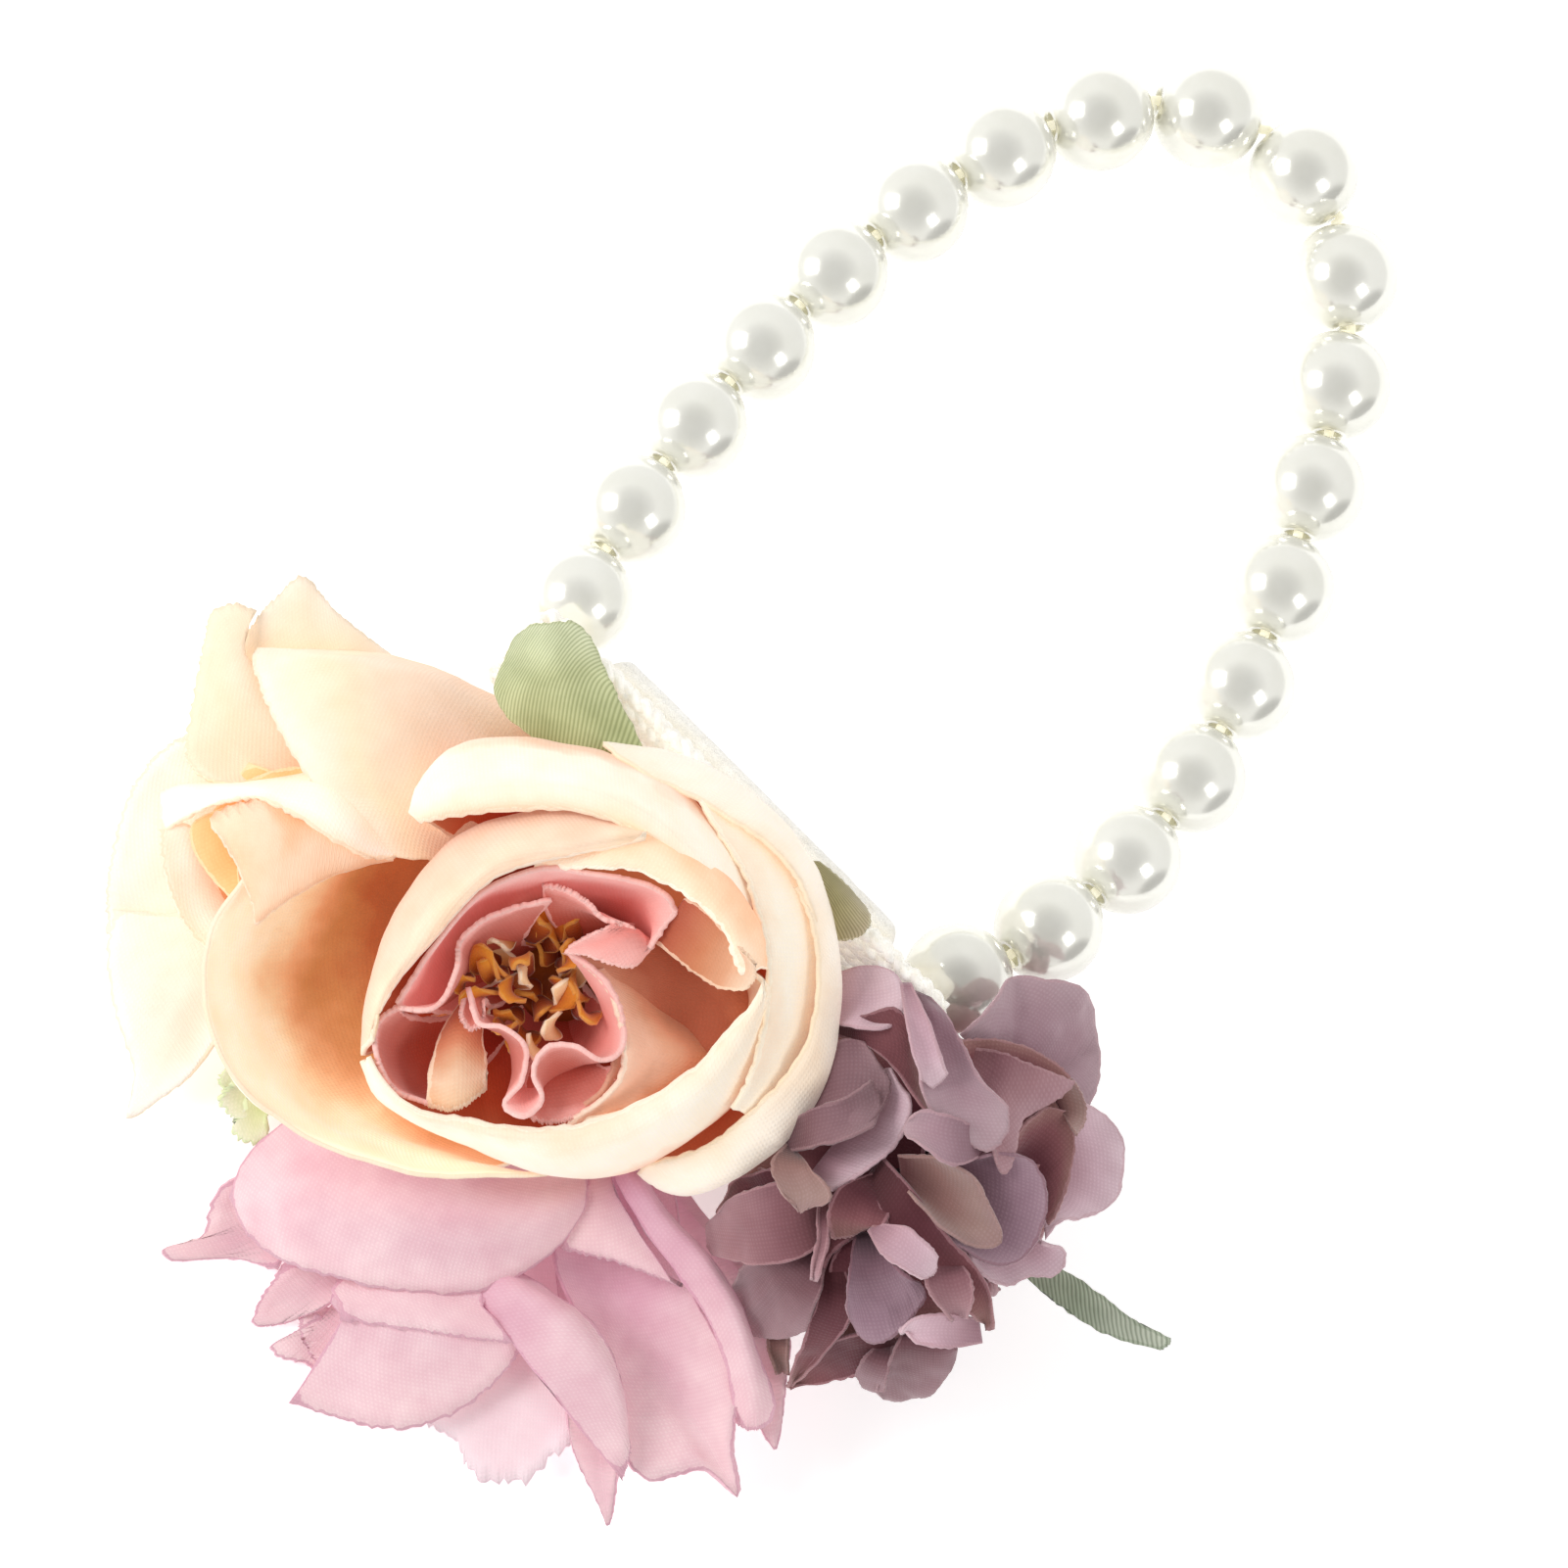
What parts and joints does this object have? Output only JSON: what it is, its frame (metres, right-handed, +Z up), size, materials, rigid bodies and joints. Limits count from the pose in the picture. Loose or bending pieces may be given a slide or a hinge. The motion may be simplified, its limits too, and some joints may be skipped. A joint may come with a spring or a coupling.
{
  "type": "wrist corsage",
  "caption": "Stretch pearl bracelet with fabric roses, a hydrangea head and leaves glued to a lace strip, worn on the wrist.",
  "frame": {"origin": "middle of the felt's wrist face, on the strip that closes the bracelet", "axes": "+X along the lace strip, +Y from the felt across the bracelet, +Z up as the corsage lies on a table"},
  "size_m": [0.0848, 0.1206, 0.0356],
  "materials": {
    "pearl": "pearlescent",
    "cord": "clear elastic",
    "felt": "felted",
    "lace": "crocheted cotton",
    "glue": "hot glue",
    "pale_peach_fabric": "satin weave",
    "peach_fabric": "satin weave",
    "rose_pink_fabric": "satin weave",
    "pink_fabric": "plain weave",
    "mauve_fabric": "plain weave",
    "leaf_fabric": "twill weave",
    "stamen": "matte",
    "stem": "matte"
  },
  "bodies": {
    "strip_and_flowers": {"elastic_cord": "cord", "felt_backing": "felt", "lace_strip": "lace", "glue_bed": "glue", "main_rose_stem": "stem", "main_rose_outer_petals": "pale_peach_fabric", "main_rose_middle_petals": "peach_fabric", "main_rose_inner_petals": "peach_fabric", "main_rose_ruffled_petals": "rose_pink_fabric", "main_rose_stamens": "stamen", "side_rose_stem": "stem", "side_rose_outer_petals": "pale_peach_fabric", "side_rose_middle_petals": "pale_peach_fabric", "side_rose_inner_petals": "peach_fabric", "pink_rose_stem": "stem", "pink_rose_outer_petals": "pink_fabric", "pink_rose_middle_petals": "pink_fabric", "pink_rose_inner_petals": "pink_fabric", "hydrangea_stem": "stem", "hydrangea_floret_01": "mauve_fabric", "hydrangea_floret_02": "mauve_fabric", "hydrangea_floret_03": "mauve_fabric", "hydrangea_floret_04": "mauve_fabric", "hydrangea_floret_05": "mauve_fabric", "hydrangea_floret_06": "mauve_fabric", "hydrangea_floret_07": "mauve_fabric", "hydrangea_floret_08": "mauve_fabric", "hydrangea_floret_09": "mauve_fabric", "hydrangea_floret_10": "mauve_fabric", "hydrangea_floret_11": "mauve_fabric", "hydrangea_floret_12": "mauve_fabric", "hydrangea_floret_13": "mauve_fabric", "hydrangea_floret_14": "mauve_fabric", "hydrangea_floret_15": "mauve_fabric", "top_leaf": "leaf_fabric", "right_leaf": "leaf_fabric", "green_sprig": "leaf_fabric", "blade_leaf": "leaf_fabric"},
    "pearl_01_body": {"pearl_01": "pearl"},
    "pearl_02_body": {"pearl_02": "pearl"},
    "pearl_03_body": {"pearl_03": "pearl"},
    "pearl_04_body": {"pearl_04": "pearl"},
    "pearl_05_body": {"pearl_05": "pearl"},
    "pearl_06_body": {"pearl_06": "pearl"},
    "pearl_07_body": {"pearl_07": "pearl"},
    "pearl_08_body": {"pearl_08": "pearl"},
    "pearl_09_body": {"pearl_09": "pearl"},
    "pearl_10_body": {"pearl_10": "pearl"},
    "pearl_11_body": {"pearl_11": "pearl"},
    "pearl_12_body": {"pearl_12": "pearl"},
    "pearl_13_body": {"pearl_13": "pearl"},
    "pearl_14_body": {"pearl_14": "pearl"},
    "pearl_15_body": {"pearl_15": "pearl"},
    "pearl_16_body": {"pearl_16": "pearl"},
    "pearl_17_body": {"pearl_17": "pearl"},
    "pearl_18_body": {"pearl_18": "pearl"},
    "pearl_19_body": {"pearl_19": "pearl"}
  },
  "joints": [
    {"name": "pearl_01_stretch", "type": "slide", "parent": "strip_and_flowers", "child": "pearl_01_body", "axis": [-0.9911, 0.1331, 0], "range_m": [0, 0.00376]},
    {"name": "pearl_02_stretch", "type": "slide", "parent": "strip_and_flowers", "child": "pearl_02_body", "axis": [-0.894, 0.4455, -0.049], "range_m": [0, 0.00458]},
    {"name": "pearl_03_stretch", "type": "slide", "parent": "strip_and_flowers", "child": "pearl_03_body", "axis": [-0.7649, 0.6391, -0.0802], "range_m": [0, 0.00565]},
    {"name": "pearl_04_stretch", "type": "slide", "parent": "strip_and_flowers", "child": "pearl_04_body", "axis": [-0.6455, 0.7572, -0.0997], "range_m": [0, 0.00686]},
    {"name": "pearl_05_stretch", "type": "slide", "parent": "strip_and_flowers", "child": "pearl_05_body", "axis": [-0.545, 0.8309, -0.1121], "range_m": [0, 0.00816]},
    {"name": "pearl_06_stretch", "type": "slide", "parent": "strip_and_flowers", "child": "pearl_06_body", "axis": [-0.4546, 0.8824, -0.1209], "range_m": [0, 0.00947]},
    {"name": "pearl_07_stretch", "type": "slide", "parent": "strip_and_flowers", "child": "pearl_07_body", "axis": [-0.3703, 0.9201, -0.1273], "range_m": [0, 0.01077]},
    {"name": "pearl_08_stretch", "type": "slide", "parent": "strip_and_flowers", "child": "pearl_08_body", "axis": [-0.283, 0.95, -0.1323], "range_m": [0, 0.01198]},
    {"name": "pearl_09_stretch", "type": "slide", "parent": "strip_and_flowers", "child": "pearl_09_body", "axis": [-0.1809, 0.974, -0.1363], "range_m": [0, 0.01293]},
    {"name": "pearl_10_stretch", "type": "slide", "parent": "strip_and_flowers", "child": "pearl_10_body", "axis": [-0.0601, 0.9885, -0.1385], "range_m": [0, 0.01316], "stiffness_N_per_m": 60, "deforming": ["elastic_cord"]},
    {"name": "pearl_11_stretch", "type": "slide", "parent": "strip_and_flowers", "child": "pearl_11_body", "axis": [0.0516, 0.9891, -0.1382], "range_m": [0, 0.01242]},
    {"name": "pearl_12_stretch", "type": "slide", "parent": "strip_and_flowers", "child": "pearl_12_body", "axis": [0.1454, 0.9799, -0.1363], "range_m": [0, 0.01126]},
    {"name": "pearl_13_stretch", "type": "slide", "parent": "strip_and_flowers", "child": "pearl_13_body", "axis": [0.2392, 0.9618, -0.1329], "range_m": [0, 0.01001]},
    {"name": "pearl_14_stretch", "type": "slide", "parent": "strip_and_flowers", "child": "pearl_14_body", "axis": [0.3497, 0.9282, -0.127], "range_m": [0, 0.00884]},
    {"name": "pearl_15_stretch", "type": "slide", "parent": "strip_and_flowers", "child": "pearl_15_body", "axis": [0.4743, 0.8724, -0.1177], "range_m": [0, 0.0077]},
    {"name": "pearl_16_stretch", "type": "slide", "parent": "strip_and_flowers", "child": "pearl_16_body", "axis": [0.6141, 0.7825, -0.103], "range_m": [0, 0.00663]},
    {"name": "pearl_17_stretch", "type": "slide", "parent": "strip_and_flowers", "child": "pearl_17_body", "axis": [0.7577, 0.6475, -0.0813], "range_m": [0, 0.00558]},
    {"name": "pearl_18_stretch", "type": "slide", "parent": "strip_and_flowers", "child": "pearl_18_body", "axis": [0.896, 0.4413, -0.0485], "range_m": [0, 0.00461]},
    {"name": "pearl_19_stretch", "type": "slide", "parent": "strip_and_flowers", "child": "pearl_19_body", "axis": [0.9911, 0.1331, 0], "range_m": [0, 0.00376]}
  ],
  "couplings": [
    {"joint": "pearl_01_stretch", "follows": "pearl_10_stretch", "ratio": 0.28559},
    {"joint": "pearl_02_stretch", "follows": "pearl_10_stretch", "ratio": 0.34837},
    {"joint": "pearl_03_stretch", "follows": "pearl_10_stretch", "ratio": 0.42946},
    {"joint": "pearl_04_stretch", "follows": "pearl_10_stretch", "ratio": 0.52131},
    {"joint": "pearl_05_stretch", "follows": "pearl_10_stretch", "ratio": 0.62007},
    {"joint": "pearl_06_stretch", "follows": "pearl_10_stretch", "ratio": 0.71979},
    {"joint": "pearl_07_stretch", "follows": "pearl_10_stretch", "ratio": 0.81863},
    {"joint": "pearl_08_stretch", "follows": "pearl_10_stretch", "ratio": 0.91043},
    {"joint": "pearl_09_stretch", "follows": "pearl_10_stretch", "ratio": 0.98274},
    {"joint": "pearl_11_stretch", "follows": "pearl_10_stretch", "ratio": 0.94415},
    {"joint": "pearl_12_stretch", "follows": "pearl_10_stretch", "ratio": 0.85541},
    {"joint": "pearl_13_stretch", "follows": "pearl_10_stretch", "ratio": 0.76114},
    {"joint": "pearl_14_stretch", "follows": "pearl_10_stretch", "ratio": 0.67174},
    {"joint": "pearl_15_stretch", "follows": "pearl_10_stretch", "ratio": 0.5854},
    {"joint": "pearl_16_stretch", "follows": "pearl_10_stretch", "ratio": 0.50411},
    {"joint": "pearl_17_stretch", "follows": "pearl_10_stretch", "ratio": 0.42429},
    {"joint": "pearl_18_stretch", "follows": "pearl_10_stretch", "ratio": 0.35014},
    {"joint": "pearl_19_stretch", "follows": "pearl_10_stretch", "ratio": 0.28559}
  ]
}
